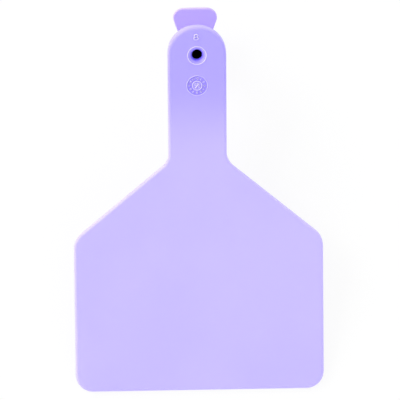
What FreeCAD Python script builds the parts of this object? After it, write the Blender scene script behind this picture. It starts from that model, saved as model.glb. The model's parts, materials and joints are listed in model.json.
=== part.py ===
"""One-piece ear tag for cattle: a flexible moulded tag with a hollow stud, and a hard piercing insert.

The tag is one soft polyurethane moulding. Its broad panel narrows over two sloping shoulders to a
thicker neck with a full round end. On the axis of that round end a hollow stem stands out of the
back, long enough to pass through an ear, and carries a locking head: two flared wings swept back
towards the tag, and a conical nose. The wings fold along the stem on the way through the ear and
spring out behind it. The front face has a countersunk mouth for the applicator's pin, and below it
the witness mark of a mould date insert. The neck leans a few degrees out of the panel's plane.

The hard black insert is moulded into the stud. It lines the bore that the applicator's pin fills,
is locked by a collar inside the head, and ends in the bare point that pierces the ear.

The pieces are made in the stud's own frame: the origin is the middle of the mouth in the front face,
+X across the tag, +Y towards the neck's round end, +Z out of the front face. Depths are measured
back from the front face. The tag is then tipped to lie as it comes to rest, front face up, on the
piercing point and the panel's lower edge, with the origin under the middle of its bounding box.
All lengths are millimetres, and all angles are degrees.
"""
import FreeCAD
import Part
import math
import os

Vector = FreeCAD.Vector

# Outline of the tag, seen along the stud
PANEL_WIDTH = 76.2
PANEL_SIDE = 47.45           # height of the panel's straight sides, before its corners are rounded
CORNER_RADIUS = 5.4
SHOULDER_RISE = 23.9         # how far the sloping shoulders climb from the panel to the neck
SHOULDER_RADIUS = 6.4
NECK_WIDTH = 17.8
NECK_REACH = 33.75           # from the stud's axis down to the shoulders
NECK_ROOT_RADIUS = 5.3

# Section of the tag, seen from the side
PANEL_THICKNESS = 1.6
NECK_THICKNESS = 3.2
NECK_LEAN = 7.0              # between the neck and the panel
LEAN_START = 17.6            # from the stud's axis down to the start of the bend in the front face
FRONT_BEND_RADIUS = 140.0
NECK_BACK_FLAT = 1.5         # level back left below the stem's root, before the neck thins
FRONT_EDGE_RADIUS = 0.9
BACK_EDGE_CHAMFER = 0.2

# Bore, insert and stem, from the inside outwards
BORE_RADIUS = 1.55
SLEEVE_WALL = 0.65
STEM_WALL = 1.2
STEM_ROOT_FILLET = 1.6

# Countersunk mouth
MOUTH_DEPTH = 1.6            # the insert starts at its foot
MOUTH_FLARE = 1.3            # how much wider than the bore it is at the front face
MOUTH_SLOPE = 32.0           # between its cone and the front face
THROAT_RADIUS = 0.9          # rounds the cone into the bore

# Locking head
EAR_GAP = 13.0               # room for the ear, from the neck's back to the corners of the wings
WING_REACH = 9.7             # from the stud's axis to the end of a wing
WING_WAIST = 9.1             # width across the wings beside the stem
WING_FLARE = 19.0            # how much each side of a wing spreads
WING_CORNER_RADIUS = 3.0
WING_WAIST_RADIUS = 5.0
WING_THICKNESS = 0.6         # at the wings' corners, before they are rounded
WING_BACK_SWEEP = 3.0        # slope of the face towards the tag
WING_NOSE_SWEEP = 20.0       # slope of the face towards the point
WING_EDGE_RADIUS = 0.35
WING_ROOT_FILLET = 0.8
NOSE_STEP = 0.3              # how much wider than the stem the nose starts
NOSE_WALL = 0.55             # around the insert, at the nose's end
NOSE_LENGTH = 3.9

# Hard insert
COLLAR_HEIGHT = 0.6
COLLAR_LENGTH = 1.6
COLLAR_SETBACK = 2.0         # from the collar to the nose's end
BORE_SETBACK = 3.6           # from the pin's seat to the nose's end
SEAT_DEPTH = 0.8             # height of the cone at the bottom of the bore
POINT_HALF_ANGLE = 22.5
POINT_RADIUS = 0.3

# Witness mark of the mould's date insert
DATE_MARK_OFFSET = 9.6       # from the stud's axis down to its middle
DATE_RING_RADIUS = 2.95
DATE_RING_WIDTH = 1.35
DATE_RING_DEPTH = 0.14

# Sizes that follow from the ones above
HALF_PANEL = PANEL_WIDTH / 2
HALF_NECK = NECK_WIDTH / 2
SHOULDER_Y = -(NECK_REACH + SHOULDER_RISE)
BOTTOM_Y = SHOULDER_Y - PANEL_SIDE
LEAN_SLOPE = math.tan(math.radians(NECK_LEAN))
FRONT_BEND_Y = -(LEAN_START + FRONT_BEND_RADIUS * math.tan(math.radians(NECK_LEAN / 2)))
PANEL_DEPTH = PANEL_THICKNESS / math.cos(math.radians(NECK_LEAN))
INSERT_RADIUS = BORE_RADIUS + SLEEVE_WALL
STEM_RADIUS = INSERT_RADIUS + STEM_WALL
MOUTH_RADIUS = BORE_RADIUS + MOUTH_FLARE
HALF_WAIST = WING_WAIST / 2
HALF_WING_END = HALF_WAIST + WING_REACH * math.tan(math.radians(WING_FLARE))
WING_CORNER_REACH = math.hypot(HALF_WING_END, WING_REACH)
NOSE_BASE_RADIUS = STEM_RADIUS + NOSE_STEP
MARGIN = 5.0                 # how far a cutting solid runs past what it cuts
TINY = 1e-4                  # lengths below this count as nothing


def panel_front(y):
    """Height of the panel's front face at y, before the bend is rounded."""
    return (FRONT_BEND_Y - y) * LEAN_SLOPE


def wing_back_depth(radius):
    """Depth of the wings' face towards the tag, at a distance from the stud's axis."""
    rise = (WING_CORNER_REACH - radius) * math.tan(math.radians(WING_BACK_SWEEP))
    return NECK_THICKNESS + EAR_GAP + rise


def wing_nose_depth(radius):
    """Depth of the wings' face towards the point, at a distance from the stud's axis."""
    rise = (WING_CORNER_REACH - radius) * math.tan(math.radians(WING_NOSE_SWEEP))
    return NECK_THICKNESS + EAR_GAP + WING_THICKNESS + rise


NOSE_END = wing_nose_depth(NOSE_BASE_RADIUS) + NOSE_LENGTH
POINT_FLAT = POINT_RADIUS * math.tan(math.radians(45 - POINT_HALF_ANGLE / 2))
POINT_DEPTH = NOSE_END + (INSERT_RADIUS - POINT_FLAT) / math.tan(math.radians(POINT_HALF_ANGLE))


def in_plan(u, v):
    return Vector(u, v, 0)


def in_side_view(u, v):
    return Vector(0, u, v)


def in_half_section(u, v):
    return Vector(u, 0, v)


def rounded_corner(before, corner, after, radius):
    """Start, middle and end of the arc that rounds a corner between two neighbours."""
    back = (before - corner).normalize()
    ahead = (after - corner).normalize()
    half_angle = back.getAngle(ahead) / 2
    reach = radius / math.tan(half_angle)
    inward = (back + ahead).normalize()
    middle = corner + inward * (radius / math.sin(half_angle) - radius)
    return corner + back * reach, middle, corner + ahead * reach


def rounded_face(corners, place):
    """Face inside (u, v, radius) corners, each corner rounded by its own radius."""
    points = [place(u, v) for u, v, _ in corners]
    following = points[1:] + points[:1]
    arcs = [
        rounded_corner(points[i - 1], points[i], following[i], corners[i][2])
        for i in range(len(corners))
    ]
    edges = []
    for i, (start, middle, end) in enumerate(arcs):
        last_end = arcs[i - 1][2]
        if last_end.distanceToPoint(start) > TINY:
            edges.append(Part.makeLine(last_end, start))
        if start.distanceToPoint(end) > TINY:
            edges.append(Part.Arc(start, middle, end).toShape())
    return Part.Face(Part.Wire(edges))


def revolved(corners):
    """Solid of revolution about the stud's axis, from (radius, depth, rounding) corners."""
    section = [(radius, -depth, rounding) for radius, depth, rounding in corners]
    return rounded_face(section, in_half_section).revolve(Vector(0, 0, 0), Vector(0, 0, 1), 360)


def symmetric_outline(right_side):
    """Plan face that is symmetric about the tag's middle line, from its right side read upwards."""
    left_side = [(-u, v, radius) for u, v, radius in reversed(right_side)]
    return rounded_face(right_side + left_side, in_plan)


def face_direction(face):
    u_start, u_end, v_start, v_end = face.ParameterRange
    return face.normalAt((u_start + u_end) / 2, (v_start + v_end) / 2)


def rim_edges(solid, facing):
    """Edges between the side walls and the faces that look along facing (+1 front, -1 back)."""
    rim = []
    for edge in solid.Edges:
        normals = [face_direction(face) for face in solid.ancestorsOfType(edge, Part.Face)]
        if any(abs(n.z) < 0.3 for n in normals) and any(n.z * facing > 0.6 for n in normals):
            rim.append(edge)
    return rim


def circle_edges(solid, radius, depth):
    """Full circles about the stud's axis, of that radius and at that depth."""
    return [
        edge for edge in solid.Edges
        if isinstance(edge.Curve, Part.Circle)
        and abs(edge.Curve.Radius - radius) < TINY
        and edge.Curve.Center.distanceToPoint(Vector(0, 0, -depth)) < TINY
    ]


def thinning_back(start_y, end_y):
    """Curve of the back face, level at the neck and level with the panel where the neck ends."""
    end_z = panel_front(end_y) - PANEL_DEPTH
    third = (start_y - end_y) / 3
    curve = Part.BezierCurve()
    curve.setPoles([
        in_side_view(start_y, -NECK_THICKNESS),
        in_side_view(start_y - third, -NECK_THICKNESS),
        in_side_view(end_y + third, end_z - third * LEAN_SLOPE),
        in_side_view(end_y, end_z),
    ])
    return curve.toShape()


def side_section():
    """Face inside the tag's section, run past the tag at both ends."""
    top_y = HALF_NECK + MARGIN
    low_y = BOTTOM_Y - MARGIN
    front_top = in_side_view(top_y, 0)
    front_low = in_side_view(low_y, panel_front(low_y))
    bend = rounded_corner(front_top, in_side_view(FRONT_BEND_Y, 0), front_low, FRONT_BEND_RADIUS)
    back_low = in_side_view(low_y, panel_front(low_y) - PANEL_DEPTH)
    back = thinning_back(-(STEM_RADIUS + STEM_ROOT_FILLET + NECK_BACK_FLAT), -NECK_REACH)
    back_top = in_side_view(top_y, -NECK_THICKNESS)
    return Part.Face(Part.Wire([
        Part.makeLine(front_top, bend[0]),
        Part.Arc(*bend).toShape(),
        Part.makeLine(bend[2], front_low),
        Part.makeLine(front_low, back_low),
        Part.makeLine(back_low, back.lastVertex().Point),
        back,
        Part.makeLine(back.firstVertex().Point, back_top),
        Part.makeLine(back_top, front_top),
    ]))


def tag_sheet():
    """Panel, shoulders and neck: the plan outline met by the side section, with rounded edges."""
    outline = symmetric_outline([
        (HALF_PANEL, BOTTOM_Y, CORNER_RADIUS),
        (HALF_PANEL, SHOULDER_Y, SHOULDER_RADIUS),
        (HALF_NECK, -NECK_REACH, NECK_ROOT_RADIUS),
        (HALF_NECK, HALF_NECK, HALF_NECK),
    ])
    section = side_section()
    base_z = section.BoundBox.ZMin - MARGIN
    column = outline.extrude(Vector(0, 0, section.BoundBox.ZLength + 2 * MARGIN))
    column.translate(Vector(0, 0, base_z))
    slab = section.extrude(Vector(PANEL_WIDTH + 2 * MARGIN, 0, 0))
    slab.translate(Vector(-(HALF_PANEL + MARGIN), 0, 0))
    sheet = column.common(slab)
    sheet = sheet.makeFillet(FRONT_EDGE_RADIUS, rim_edges(sheet, +1))
    return sheet.makeChamfer(BACK_EDGE_CHAMFER, rim_edges(sheet, -1))


def stud():
    """Stem, wings and nose: one turned form, trimmed to the flared outline of the wings."""
    turned = revolved([
        (0, NECK_THICKNESS / 2, 0),
        (STEM_RADIUS, NECK_THICKNESS / 2, 0),
        (STEM_RADIUS, wing_back_depth(STEM_RADIUS), WING_ROOT_FILLET),
        (WING_CORNER_REACH, wing_back_depth(WING_CORNER_REACH), 0),
        (WING_CORNER_REACH, wing_nose_depth(WING_CORNER_REACH), 0),
        (NOSE_BASE_RADIUS, wing_nose_depth(NOSE_BASE_RADIUS), WING_ROOT_FILLET),
        (INSERT_RADIUS + NOSE_WALL, NOSE_END, 0),
        (0, NOSE_END, 0),
    ])
    trim = symmetric_outline([
        (HALF_WING_END, -WING_REACH, WING_CORNER_RADIUS),
        (HALF_WAIST, 0, WING_WAIST_RADIUS),
        (HALF_WING_END, WING_REACH, WING_CORNER_RADIUS),
    ]).extrude(Vector(0, 0, -(NOSE_END + MARGIN)))
    head = turned.common(trim)
    wing_outline = [
        edge for edge in rim_edges(head, +1) + rim_edges(head, -1)
        if math.hypot(edge.CenterOfMass.x, edge.CenterOfMass.y) > STEM_RADIUS
    ]
    return head.makeFillet(WING_EDGE_RADIUS, wing_outline)


def mouth():
    """Countersink that guides the applicator's pin into the insert."""
    rise = math.tan(math.radians(MOUTH_SLOPE))
    return revolved([
        (0, -MARGIN, 0),
        (MOUTH_RADIUS + MARGIN / rise, -MARGIN, 0),
        (BORE_RADIUS, MOUTH_FLARE * rise, THROAT_RADIUS),
        (BORE_RADIUS, MOUTH_DEPTH, 0),
        (0, MOUTH_DEPTH, 0),
    ])


def insert_blank():
    """Outside of the hard insert: sleeve, locking collar and ball-ended piercing point."""
    collar_front = NOSE_END - COLLAR_SETBACK
    collar_back = collar_front - COLLAR_LENGTH
    collar_radius = INSERT_RADIUS + COLLAR_HEIGHT
    return revolved([
        (0, MOUTH_DEPTH, 0),
        (INSERT_RADIUS, MOUTH_DEPTH, 0),
        (INSERT_RADIUS, collar_back, 0),
        (collar_radius, collar_back, 0),
        (collar_radius, collar_front, 0),
        (INSERT_RADIUS, collar_front, 0),
        (INSERT_RADIUS, NOSE_END, 0),
        (POINT_FLAT, POINT_DEPTH, POINT_RADIUS),
        (0, POINT_DEPTH, 0),
    ])


def piercing_insert():
    """The hard insert with its blind bore for the applicator's pin."""
    bore_end = NOSE_END - BORE_SETBACK
    bore = revolved([
        (0, MOUTH_DEPTH - MARGIN, 0),
        (BORE_RADIUS, MOUTH_DEPTH - MARGIN, 0),
        (BORE_RADIUS, bore_end, 0),
        (0, bore_end + SEAT_DEPTH, 0),
    ])
    return insert_blank().cut(bore)


def date_mark():
    """Shallow ring that the mould's date insert leaves in the front of the neck."""
    height = DATE_RING_DEPTH + MARGIN
    ring = Part.makeCylinder(DATE_RING_RADIUS, height)
    ring = ring.cut(Part.makeCylinder(DATE_RING_RADIUS - DATE_RING_WIDTH, height))
    ring.translate(Vector(0, -DATE_MARK_OFFSET, -DATE_RING_DEPTH))
    return ring


def tag_moulding():
    """The whole soft moulding, hollowed for the insert."""
    body = tag_sheet().fuse(stud())
    body = body.makeFillet(STEM_ROOT_FILLET, circle_edges(body, STEM_RADIUS, NECK_THICKNESS))
    return body.cut(mouth()).cut(insert_blank()).cut(date_mark())


def rest_angle():
    """Tilt at which the point and the panel's lower back edge both touch the ground."""
    edge_y = BOTTOM_Y + BACK_EDGE_CHAMFER * math.cos(math.radians(NECK_LEAN))
    edge_z = panel_front(edge_y) - PANEL_DEPTH
    ball_z = POINT_RADIUS - POINT_DEPTH
    drop = math.atan2(ball_z - edge_z, -edge_y)
    rounding = math.asin(POINT_RADIUS / math.hypot(edge_y, ball_z - edge_z))
    return math.degrees(rounding - drop)


def laid_to_rest(pieces):
    """Tips the pieces onto the ground, with the origin under the middle of their bounding box."""
    for shape in pieces.values():
        shape.rotate(Vector(0, 0, 0), Vector(1, 0, 0), rest_angle())
    box = Part.makeCompound(list(pieces.values())).optimalBoundingBox(False, False)
    for shape in pieces.values():
        shape.translate(Vector(-box.Center.x, -box.Center.y, -box.ZMin))
    return pieces


def main():
    pieces = laid_to_rest({
        "tag_moulding": tag_moulding(),
        "piercing_insert": piercing_insert(),
    })
    os.makedirs("parts", exist_ok=True)
    for name, shape in pieces.items():
        shape.exportStep("parts/" + name + ".step")


main()
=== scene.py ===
"""Looks of the one-piece ear tag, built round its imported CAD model.

The tag lies at rest on its piercing point and its panel's lower edge, front face up, and the camera
looks straight down on it. The two CAD solids stay, with procedural materials. What the mould's
engraving raises on the front of the neck is added here: the lip of the mouth, the cavity number
over it, and the rims, month numbers, pointer and year of the date dial. Lengths are metres, and
angles are degrees.
"""
import json
import math

import bpy
from mathutils import Matrix, Vector


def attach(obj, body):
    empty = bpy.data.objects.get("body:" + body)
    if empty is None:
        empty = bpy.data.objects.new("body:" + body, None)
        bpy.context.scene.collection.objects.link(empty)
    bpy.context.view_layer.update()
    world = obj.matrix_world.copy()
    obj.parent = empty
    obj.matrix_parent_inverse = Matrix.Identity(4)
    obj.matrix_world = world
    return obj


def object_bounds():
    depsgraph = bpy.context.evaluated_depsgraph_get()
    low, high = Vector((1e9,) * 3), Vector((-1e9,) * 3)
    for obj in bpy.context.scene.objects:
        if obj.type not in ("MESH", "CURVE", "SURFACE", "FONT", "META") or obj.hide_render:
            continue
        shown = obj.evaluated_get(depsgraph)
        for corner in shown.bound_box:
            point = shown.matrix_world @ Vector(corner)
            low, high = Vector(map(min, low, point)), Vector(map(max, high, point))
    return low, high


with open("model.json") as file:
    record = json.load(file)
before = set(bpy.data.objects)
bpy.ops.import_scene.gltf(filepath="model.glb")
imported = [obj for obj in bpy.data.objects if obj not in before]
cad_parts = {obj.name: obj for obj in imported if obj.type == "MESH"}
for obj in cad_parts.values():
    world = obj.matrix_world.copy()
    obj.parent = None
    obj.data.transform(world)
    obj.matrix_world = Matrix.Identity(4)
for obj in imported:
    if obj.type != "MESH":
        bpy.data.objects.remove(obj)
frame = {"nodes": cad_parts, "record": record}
CAD_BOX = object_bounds()

MM = 0.001

# The tag's own measures, as its CAD model has them
MOUTH_DEPTH = 1.6 * MM
MOUTH_RADIUS = 2.85 * MM
SHEET_THICKNESS = 3.2 * MM       # of the neck
NECK_REACH = 33.75 * MM
TAPER_START = 6.5 * MM           # from the stud's axis down to where the neck starts to thin
DATE_MARK_OFFSET = 9.6 * MM
DATE_RING_RADIUS = 2.95 * MM
DATE_RING_WIDTH = 1.35 * MM
DATE_RING_DEPTH = 0.14 * MM

# Painted shade in the throat of the mouth, deepening round a point on the stud's axis
THROAT_DEPTH = 1.0 * MM          # of that point under the face
THROAT_FAR = 2.5 * MM            # distance from it where the deepening starts
THROAT_NEAR = 1.6 * MM           # and where it is full

# Raised lip of the mouth
LIP_WIDTH = 0.30 * MM
LIP_RELIEF = 0.15 * MM

# Cavity number, over the mouth
NUMBER = "8"
NUMBER_PLACE = (-0.25 * MM, 5.85 * MM)     # from the stud's axis
NUMBER_SIZE = (1.74 * MM, 2.45 * MM)       # height, and scale of the width
NUMBER_STROKE = 0.32 * MM
NUMBER_RELIEF = 0.30 * MM

# Date dial: the recess is the CAD model's, the rest is raised in it and round it
OUTER_RIM_GAP = 0.22 * MM        # from the recess out to the outer rim
OUTER_RIM_STROKE = 0.18 * MM
OUTER_RIM_RELIEF = 0.11 * MM
INNER_RIM_GAP = 0.15 * MM        # from the recess in to the inner rim
INNER_RIM_STROKE = 0.26 * MM
INNER_RIM_RELIEF = 0.18 * MM
MONTHS = 12
MONTH_SIZE = (0.56 * MM, 0.60 * MM)
MONTH_STROKE = 0.15 * MM
MONTH_RELIEF = 0.27 * MM         # over the floor of the recess
POINTER_TURN = -36.0             # from straight up
POINTER_LENGTH = 1.7 * MM
POINTER_STROKE = 0.34 * MM
POINTER_RELIEF = 0.28 * MM
BARB_LENGTH = 0.36 * MM
BARB_ANGLE = 145.0
YEAR = "09"
YEAR_SIZE = (0.80 * MM, 0.78 * MM)
YEAR_REACH = 0.66 * MM           # from the dial's middle to each digit
YEAR_STROKE = 0.17 * MM
YEAR_RELIEF = 0.16 * MM

ARC_STEP = 15.0                  # largest angle between the points of a character's arcs
RIM_POINTS = 96
BEVEL_RESOLUTION = 3             # of a ridge's round section
END_ANGLES = (30, 60, 85)        # of the rings that round off a stroke, from its end to its tip
CLOSED_GAP = 0.01                # a stroke is a loop if its ends are nearer, as a share of its width

# Colours as sRGB from 0 to 255. Where there are two, the pigment drifts slowly between them
THIN_SHEET = (193, 182, 255), (196, 185, 255)
# Painted shade: the thick neck is given a darker colour than the thin panel
SHADED_THICK_SHEET = (173, 161, 253), (175, 163, 254)
STUD = (190, 172, 254), (192, 174, 255)
# Painted highlight: the raised strokes are given a paler colour than the body
HIGHLIGHTED_STROKE = (211, 200, 254), (218, 208, 255)
INSERT = (10, 10, 11), (18, 18, 20)
# Painted shade in the throat of the mouth
THROAT_SHADE = (120, 104, 255)
# Painted shade on the recessed floor of the date dial
DIAL_FLOOR_SHADE = (165, 150, 255)
SPECK = (140, 124, 205)

# Textures: scales are in cells for each metre, and spans are the part of a noise's range in use
DRIFT_SCALE = 32.0
MARK_DRIFT_SCALE = 900.0
DRIFT_SPAN = (0.35, 0.65)
RIPPLE_SCALE = 330.0             # slow waviness of the moulded skin
RIPPLE_STRENGTH = 0.25
RIPPLE_HEIGHT = 0.02 * MM
GRAIN_SCALE = 4200.0             # fine matt grain of the mould
GRAIN_STRENGTH = 0.2
GRAIN_HEIGHT = 0.03 * MM
GLOSS_SCALE = 900.0
GLOSS_SPAN = (0.3, 0.7)
SKIN_ROUGHNESS = (0.38, 0.46)
SPECULAR_LEVEL = 0.35
SUNK_SHARES = (-0.3, -0.8)       # of the recess's depth, where the painted shade on its floor comes in
SPECK_SCALE = 55.0
SPECK_RADII = (0.016, 0.008)     # in cells, where a speck starts and where its colour is full
INSERT_GRAIN_SCALE = 3000.0
INSERT_GRAIN_STRENGTH = 0.1
INSERT_GRAIN_HEIGHT = 0.02 * MM
INSERT_GLOSS_SCALE = 700.0
INSERT_ROUGHNESS = (0.30, 0.42)

# Light that goes into the translucent polyurethane
SCATTER_WEIGHT = 0.3
SCATTER_RADIUS = (0.7, 0.6, 1.0)
SCATTER_SCALE = 0.8 * MM

# Camera
CAMERA_DISTANCE = 2.0
CAMERA_LEAN = 1.7                # how far the camera stands to the left of straight above
IMAGE_TURN = 0.95                # the tag's turn in the picture
VIEW_WIDTH = 122.0 * MM
VIEW_SHIFT = Vector((0.55, -0.25, 0)) * MM   # from the box's middle to the picture's middle
SENSOR_WIDTH = 36.0
VIEW_DEPTH = 10.0                # farthest distance that the camera draws

# Studio
FLOOR_SIZE = 6.0
FLOOR_GREY = (0.9, 0.9, 0.9, 1)
FLOOR_ROUGHNESS = 0.9
FLOOR_GLOW = 0.9                 # share of plain white in what the camera sees of the ground
TENT_WALL = 1.9                  # light from the white tent, level with the ground
TENT_ROOF = 0.42                 # and from straight above
KEY_DIRECTION = Vector((-1.0, 0.75, 0.85))
KEY_DISTANCE = 1.6
KEY_SIZE = 0.7
KEY_POWER = 14.5


def tag_frame():
    """The frame of the neck's front face: origin in the middle of the mouth, +Z out of the face."""
    bore = next(m for m in frame["record"]["mounts"] if m["kind"] == "bore")
    out = Vector(bore["axis"]).normalized()
    reach = bore["dims"]["length_mm"] * MM / 2 + MOUTH_DEPTH
    origin = Vector(bore["pos_m"]) + out * reach
    across = Vector((1, 0, 0))
    turn = Matrix((across, out.cross(across), out)).transposed().to_4x4()
    return Matrix.Translation(origin) @ turn


NECK = tag_frame()


# ---------------------------------------------------------------- materials

def linear(code):
    """Linear colour, with alpha, of an sRGB colour given as three numbers from 0 to 255."""
    def channel(value):
        value /= 255
        return value / 12.92 if value <= 0.04045 else ((value + 0.055) / 1.055) ** 2.4
    return tuple(channel(value) for value in code) + (1.0,)


class Nodes:
    """A material's node tree, with short calls to add and join nodes."""

    def __init__(self, name):
        self.material = bpy.data.materials.new(name)
        self.material.use_nodes = True
        self.tree = self.material.node_tree
        self.shader = next(n for n in self.tree.nodes if n.type == "BSDF_PRINCIPLED")
        self.place = self.add("ShaderNodeTexCoord").outputs["Object"]

    def add(self, kind, **settings):
        node = self.tree.nodes.new(kind)
        for key, value in settings.items():
            if key in node.inputs:
                node.inputs[key].default_value = value
            else:
                setattr(node, key, value)
        return node

    def join(self, source, target):
        self.tree.links.new(source, target)

    def noise(self, scale, detail=2.0, roughness=0.5):
        texture = self.add("ShaderNodeTexNoise", Scale=scale, Detail=detail, Roughness=roughness)
        self.join(self.place, texture.inputs["Vector"])
        return texture.outputs["Fac"]

    def ranged(self, value, low, high, to_low=0.0, to_high=1.0, ease="SMOOTHSTEP"):
        """value, taken from the range low to high into the range to_low to to_high."""
        node = self.add("ShaderNodeMapRange", interpolation_type=ease)
        for name, setting in (
            ("From Min", low), ("From Max", high), ("To Min", to_low), ("To Max", to_high),
        ):
            node.inputs[name].default_value = setting
        self.join(value, node.inputs["Value"])
        return node.outputs["Result"]

    def product(self, first, second):
        node = self.add("ShaderNodeMath", operation="MULTIPLY")
        self.join(first, node.inputs[0])
        self.join(second, node.inputs[1])
        return node.outputs[0]

    def nearness(self, point, far, near):
        """From 0 at the distance far from a point to 1 at the distance near."""
        node = self.add("ShaderNodeVectorMath", operation="DISTANCE")
        self.join(self.place, node.inputs[0])
        node.inputs[1].default_value = point
        return self.ranged(node.outputs["Value"], far, near)

    def along(self, direction, start):
        """Distance of the shaded point from start, measured along a unit direction."""
        offset = self.add("ShaderNodeVectorMath", operation="SUBTRACT")
        self.join(self.place, offset.inputs[0])
        offset.inputs[1].default_value = start
        dot = self.add("ShaderNodeVectorMath", operation="DOT_PRODUCT")
        self.join(offset.outputs[0], dot.inputs[0])
        dot.inputs[1].default_value = direction
        return dot.outputs["Value"]

    def blended(self, share, first, second):
        """Colour between first and second. Each is a colour or another node's output."""
        mix = self.add("ShaderNodeMix", data_type="RGBA")
        colours = [socket for socket in mix.inputs if socket.type == "RGBA"]
        self.join(share, mix.inputs["Factor"])
        for socket, colour in zip(colours, (first, second)):
            if isinstance(colour, tuple):
                socket.default_value = colour
            else:
                self.join(colour, socket)
        return next(socket for socket in mix.outputs if socket.type == "RGBA")

    def drifting(self, share, colours):
        """Colour between two sRGB colours."""
        first, second = colours
        return self.blended(share, linear(first), linear(second))

    def bump(self, height, strength, distance, under=None):
        node = self.add("ShaderNodeBump", Strength=strength, Distance=distance)
        self.join(height, node.inputs["Height"])
        if under:
            self.join(under, node.inputs["Normal"])
        return node.outputs["Normal"]


def finish_polyurethane(nodes, colour):
    """Satin moulded skin over a slightly translucent body of that colour."""
    shader = nodes.shader
    nodes.join(colour, shader.inputs["Base Color"])
    ripple = nodes.bump(nodes.noise(RIPPLE_SCALE, detail=1.0), RIPPLE_STRENGTH, RIPPLE_HEIGHT)
    fine = nodes.noise(GRAIN_SCALE, detail=3.0, roughness=0.6)
    grain = nodes.bump(fine, GRAIN_STRENGTH, GRAIN_HEIGHT, under=ripple)
    nodes.join(grain, shader.inputs["Normal"])
    gloss = nodes.ranged(nodes.noise(GLOSS_SCALE), *GLOSS_SPAN, *SKIN_ROUGHNESS)
    nodes.join(gloss, shader.inputs["Roughness"])
    shader.inputs["Specular IOR Level"].default_value = SPECULAR_LEVEL
    shader.inputs["Subsurface Weight"].default_value = SCATTER_WEIGHT
    shader.inputs["Subsurface Radius"].default_value = SCATTER_RADIUS
    shader.inputs["Subsurface Scale"].default_value = SCATTER_SCALE


def tag_material():
    """Lavender polyurethane, with painted shade where it is thick and where it is moulded hollow."""
    nodes = Nodes("tag_polyurethane")
    origin = NECK.to_translation()
    up_neck = NECK.to_3x3().col[1]
    out = NECK.to_3x3().col[2]
    depth = nodes.along(out, origin)

    # Slow drift of the pigment
    drift = nodes.ranged(nodes.noise(DRIFT_SCALE), *DRIFT_SPAN)
    thin = nodes.drifting(drift, THIN_SHEET)
    shaded_thick = nodes.drifting(drift, SHADED_THICK_SHEET)
    stud = nodes.drifting(drift, STUD)

    # The sheet thickens up the neck, and its colour is painted darker there as shade; the stud behind
    # it is thin again and has a tone of its own
    neck_shade = nodes.ranged(nodes.along(up_neck, origin), -NECK_REACH, -TAPER_START)
    sheet = nodes.blended(neck_shade, thin, shaded_thick)
    in_front = nodes.ranged(depth, -2 * SHEET_THICKNESS, -SHEET_THICKNESS)
    colour = nodes.blended(in_front, stud, sheet)

    # Painted shade in the throat of the mouth and on the floor of the date dial
    throat_shade = nodes.nearness(origin - out * THROAT_DEPTH, THROAT_FAR, THROAT_NEAR)
    colour = nodes.blended(throat_shade, colour, linear(THROAT_SHADE))
    # Painted shade on the date dial's recessed floor
    dial = origin - up_neck * DATE_MARK_OFFSET
    in_dial = nodes.nearness(dial, DATE_RING_RADIUS + OUTER_RIM_GAP, DATE_RING_RADIUS)
    sunk = nodes.ranged(depth, *(share * DATE_RING_DEPTH for share in SUNK_SHARES))
    colour = nodes.blended(nodes.product(in_dial, sunk), colour, linear(DIAL_FLOOR_SHADE))

    # A few specks of dust in the moulding
    specks = nodes.add("ShaderNodeTexVoronoi", Scale=SPECK_SCALE, feature="F1")
    nodes.join(nodes.place, specks.inputs["Vector"])
    speck = nodes.ranged(specks.outputs["Distance"], *SPECK_RADII)
    colour = nodes.blended(speck, colour, linear(SPECK))
    finish_polyurethane(nodes, colour)
    return nodes.material


def mark_material():
    """The same polyurethane in thin raised strokes, painted paler than the body under them as a
    highlight.
    """
    nodes = Nodes("tag_polyurethane_marks_painted_highlight")
    drift = nodes.ranged(nodes.noise(MARK_DRIFT_SCALE), *DRIFT_SPAN)
    finish_polyurethane(nodes, nodes.drifting(drift, HIGHLIGHTED_STROKE))
    return nodes.material


def insert_material():
    """Hard black plastic, moulded smooth."""
    nodes = Nodes("insert_black")
    shader = nodes.shader
    grain = nodes.noise(INSERT_GRAIN_SCALE)
    nodes.join(nodes.drifting(grain, INSERT), shader.inputs["Base Color"])
    nodes.join(nodes.bump(grain, INSERT_GRAIN_STRENGTH, INSERT_GRAIN_HEIGHT), shader.inputs["Normal"])
    gloss = nodes.ranged(nodes.noise(INSERT_GLOSS_SCALE), *GLOSS_SPAN, *INSERT_ROUGHNESS)
    nodes.join(gloss, shader.inputs["Roughness"])
    return nodes.material


def floor_material():
    """White ground that the camera sees nearly evenly lit, with the object's shadow left faint."""
    nodes = Nodes("floor")
    nodes.shader.inputs["Base Color"].default_value = FLOOR_GREY
    nodes.shader.inputs["Roughness"].default_value = FLOOR_ROUGHNESS
    rays = nodes.add("ShaderNodeLightPath").outputs
    seen = rays["Is Camera Ray"]
    for kind in ("Is Glossy Ray", "Is Transmission Ray"):
        either = nodes.add("ShaderNodeMath", operation="MAXIMUM")
        nodes.join(seen, either.inputs[0])
        nodes.join(rays[kind], either.inputs[1])
        seen = either.outputs[0]
    glow = nodes.add("ShaderNodeEmission", Strength=1.0)
    mix = nodes.add("ShaderNodeMixShader")
    nodes.join(nodes.ranged(seen, 0.0, 1.0, 0.0, FLOOR_GLOW, "LINEAR"), mix.inputs["Fac"])
    nodes.join(nodes.shader.outputs["BSDF"], mix.inputs[1])
    nodes.join(glow.outputs["Emission"], mix.inputs[2])
    output = next(n for n in nodes.tree.nodes if n.type == "OUTPUT_MATERIAL")
    nodes.join(mix.outputs["Shader"], output.inputs["Surface"])
    return nodes.material


TAG = tag_material()
HIGHLIGHTED_MARKS = mark_material()
BLACK = insert_material()


# ---------------------------------------------------------------- pieces

def dress(node, material):
    obj = frame["nodes"][node]
    obj.data.materials.clear()
    obj.data.materials.append(material)


def add_piece(name, mesh, material):
    piece = bpy.data.objects.new(name, mesh)
    bpy.context.scene.collection.objects.link(piece)
    mesh.materials.clear()
    mesh.materials.append(material)
    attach(piece, "root")


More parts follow.
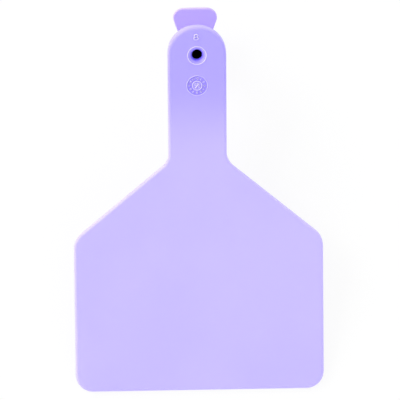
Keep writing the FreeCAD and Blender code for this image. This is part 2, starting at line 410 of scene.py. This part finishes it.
def arc(middle, radii, start, end):
    """Points of an elliptical arc. Angles run anticlockwise from +X."""
    steps = max(2, math.ceil(abs(end - start) / ARC_STEP))
    angles = [math.radians(start + (end - start) * i / steps) for i in range(steps + 1)]
    return [
        (middle[0] + radii[0] * math.cos(a), middle[1] + radii[1] * math.sin(a)) for a in angles
    ]


# Strokes of each digit, in a box one unit high about the origin
STROKES = {
    "0": [arc((0, 0), (0.28, 0.5), 0, 360)],
    "1": [[(-0.18, 0.28), (0, 0.5)], [(0, 0.5), (0, -0.5)]],
    "2": [arc((0, 0.22), (0.28, 0.28), 165, -35) + [(-0.28, -0.5)], [(-0.28, -0.5), (0.28, -0.5)]],
    "3": [arc((0, 0.24), (0.25, 0.26), 150, -90), arc((0, -0.24), (0.28, 0.26), 90, -150)],
    "4": [[(0.12, -0.5), (0.12, 0.5)], [(0.12, 0.5), (-0.28, -0.18)], [(-0.28, -0.18), (0.3, -0.18)]],
    "5": [[(0.24, 0.5), (-0.2, 0.5)], [(-0.2, 0.5), (-0.24, 0.05)],
          arc((-0.02, -0.18), (0.28, 0.32), 140, -140)],
    "6": [arc((0, -0.2), (0.27, 0.3), 0, 360), arc((0.25, -0.2), (0.52, 0.7), 180, 105)],
    "7": [[(-0.26, 0.5), (0.26, 0.5)], [(0.26, 0.5), (-0.08, -0.5)]],
    "8": [arc((0, 0.25), (0.23, 0.25), 0, 360), arc((0, -0.25), (0.28, 0.25), 0, 360)],
    "9": [arc((0, 0.2), (0.27, 0.3), 0, 360), arc((-0.25, 0.2), (0.52, 0.7), 0, -75)],
}
CHARACTER_PITCH = 0.72           # from one character's middle to the next, in character heights


def character_strokes(text, size):
    """Strokes of a line of digits centred on the origin. The size is a height and a scale of widths."""
    height, width = size
    strokes = []
    for i, character in enumerate(text):
        shift = (i - (len(text) - 1) / 2) * CHARACTER_PITCH
        for stroke in STROKES[character]:
            strokes.append([((u + shift) * width, v * height) for u, v in stroke])
    return strokes


def placed(strokes, middle, turn=0.0):
    """Strokes turned anticlockwise about the origin and then moved to middle."""
    c, s = math.cos(math.radians(turn)), math.sin(math.radians(turn))
    return [
        [(middle[0] + c * u - s * v, middle[1] + s * u + c * v) for u, v in stroke]
        for stroke in strokes
    ]


def circle(radius):
    turns = [2 * math.pi * i / RIM_POINTS for i in range(RIM_POINTS + 1)]
    return [(radius * math.cos(t), radius * math.sin(t)) for t in turns]


def with_round_ends(points, radius):
    """Points of an open stroke as (place, share of its radius), running out round at both ends."""
    spots = [Vector(point) for point in points]
    out_first = (spots[0] - spots[1]).normalized()
    out_last = (spots[-1] - spots[-2]).normalized()
    round_off = [(math.sin(a) * radius, math.cos(a)) for a in map(math.radians, END_ANGLES)]
    return (
        [(spots[0] + out_first * reach, share) for reach, share in reversed(round_off)]
        + [(spot, 1.0) for spot in spots]
        + [(spots[-1] + out_last * reach, share) for reach, share in round_off]
    )


def add_raised(name, strokes, width, relief, floor=0.0):
    """Rounded ridges along strokes on the neck's front face, standing relief over a floor height."""
    curve = bpy.data.curves.new(name, "CURVE")
    curve.dimensions = "3D"
    curve.bevel_depth = width / 2
    curve.bevel_resolution = BEVEL_RESOLUTION
    curve.use_fill_caps = True
    for stroke in strokes:
        closed = (Vector(stroke[0]) - Vector(stroke[-1])).length < width * CLOSED_GAP
        if closed:
            points = [(Vector(point), 1.0) for point in stroke[:-1]]
        else:
            points = with_round_ends(stroke, width / 2)
        spline = curve.splines.new("POLY")
        spline.points.add(len(points) - 1)
        spline.use_cyclic_u = closed
        for target, (place, share) in zip(spline.points, points):
            target.co = (place.x, place.y, 0, 1)
            target.radius = share
    holder = bpy.data.objects.new(name, curve)
    mesh = bpy.data.meshes.new_from_object(holder)
    bpy.data.objects.remove(holder)
    flatten = Matrix.Diagonal((1, 1, relief / (width / 2), 1))
    mesh.transform(NECK @ Matrix.Translation((0, 0, floor)) @ flatten)
    mesh.shade_smooth()
    add_piece(name, mesh, HIGHLIGHTED_MARKS)


def build_mouth_marks():
    add_raised("mouth_lip", [circle(MOUTH_RADIUS)], LIP_WIDTH, LIP_RELIEF)
    strokes = placed(character_strokes(NUMBER, NUMBER_SIZE), NUMBER_PLACE)
    add_raised("cavity_number", strokes, NUMBER_STROKE, NUMBER_RELIEF)


def month_strokes():
    """The months as numbers round the recess, read from its middle, with the last at the top."""
    reach = DATE_RING_RADIUS - DATE_RING_WIDTH / 2
    strokes = []
    for month in range(1, MONTHS + 1):
        turn = -360 * month / MONTHS
        number = placed(character_strokes(str(month), MONTH_SIZE), (0, reach))
        strokes += placed(number, (0, 0), turn)
    return strokes


def pointer_strokes():
    half = POINTER_LENGTH / 2
    barbs = [
        [(0, half), (BARB_LENGTH * math.sin(a), half + BARB_LENGTH * math.cos(a))]
        for a in (math.radians(BARB_ANGLE), -math.radians(BARB_ANGLE))
    ]
    return placed([[(0, -half), (0, half)]] + barbs, (0, 0), POINTER_TURN)


def year_strokes():
    """The year's two digits, upright, one on each side of the pointer."""
    side = math.radians(POINTER_TURN)
    strokes = []
    for digit, sign in zip(YEAR, (-1, 1)):
        place = (sign * YEAR_REACH * math.cos(side), sign * YEAR_REACH * math.sin(side))
        strokes += placed(character_strokes(digit, YEAR_SIZE), place)
    return strokes


def build_date_dial():
    middle = (0, -DATE_MARK_OFFSET)
    inner = DATE_RING_RADIUS - DATE_RING_WIDTH
    outer_rim = [circle(DATE_RING_RADIUS + OUTER_RIM_GAP)]
    inner_rim = [circle(inner - INNER_RIM_GAP)]
    add_raised("dial_outer_rim", placed(outer_rim, middle), OUTER_RIM_STROKE, OUTER_RIM_RELIEF)
    add_raised("dial_inner_rim", placed(inner_rim, middle), INNER_RIM_STROKE, INNER_RIM_RELIEF)
    add_raised("dial_months", placed(month_strokes(), middle), MONTH_STROKE, MONTH_RELIEF,
               -DATE_RING_DEPTH)
    add_raised("dial_pointer", placed(pointer_strokes(), middle), POINTER_STROKE, POINTER_RELIEF)
    add_raised("dial_year", placed(year_strokes(), middle), YEAR_STROKE, YEAR_RELIEF)


# ---------------------------------------------------------------- camera and studio

def build_camera():
    low, high = (Vector(corner) for corner in CAD_BOX)
    middle = (low + high) / 2
    camera = bpy.data.cameras.new("camera")
    camera.sensor_width = SENSOR_WIDTH
    camera.lens = SENSOR_WIDTH * CAMERA_DISTANCE / VIEW_WIDTH
    camera.clip_end = VIEW_DEPTH
    lean = math.radians(CAMERA_LEAN)
    out = Vector((-math.sin(lean), 0, math.cos(lean)))
    rig = bpy.data.objects.new("camera", camera)
    bpy.context.scene.collection.objects.link(rig)
    rig.matrix_world = (
        Matrix.Translation(middle + VIEW_SHIFT + out * CAMERA_DISTANCE)
        @ Matrix.Rotation(-lean, 4, "Y")
        @ Matrix.Rotation(math.radians(-IMAGE_TURN), 4, "Z")
    )
    bpy.context.scene.camera = rig


def build_key_light():
    light = bpy.data.lights.new("key", "AREA")
    light.size = KEY_SIZE
    light.energy = KEY_POWER
    key = bpy.data.objects.new("key", light)
    bpy.context.scene.collection.objects.link(key)
    key.location = KEY_DIRECTION.normalized() * KEY_DISTANCE
    key.rotation_euler = (-KEY_DIRECTION).to_track_quat("-Z", "Y").to_euler()


def build_tent():
    """World light of a white tent, stronger from its walls than from its roof."""
    world = bpy.data.worlds.new("tent")
    bpy.context.scene.world = world
    world.use_nodes = True
    nodes = world.node_tree.nodes
    links = world.node_tree.links
    nodes["Background"].inputs["Color"].default_value = (1, 1, 1, 1)
    height = nodes.new("ShaderNodeSeparateXYZ")
    links.new(nodes.new("ShaderNodeTexCoord").outputs["Generated"], height.inputs[0])
    strength = nodes.new("ShaderNodeMapRange")
    strength.inputs["To Min"].default_value = TENT_WALL
    strength.inputs["To Max"].default_value = TENT_ROOF
    links.new(height.outputs["Z"], strength.inputs["Value"])
    links.new(strength.outputs["Result"], nodes["Background"].inputs["Strength"])


def build_stage():
    bpy.ops.mesh.primitive_plane_add(size=FLOOR_SIZE)
    floor = bpy.context.object
    floor.name = "floor"
    floor.data.materials.append(floor_material())

    build_tent()
    build_key_light()
    bpy.context.scene.view_settings.view_transform = "Standard"


dress("tag_moulding", TAG)
dress("piercing_insert", BLACK)
build_mouth_marks()
build_date_dial()
build_stage()
build_camera()
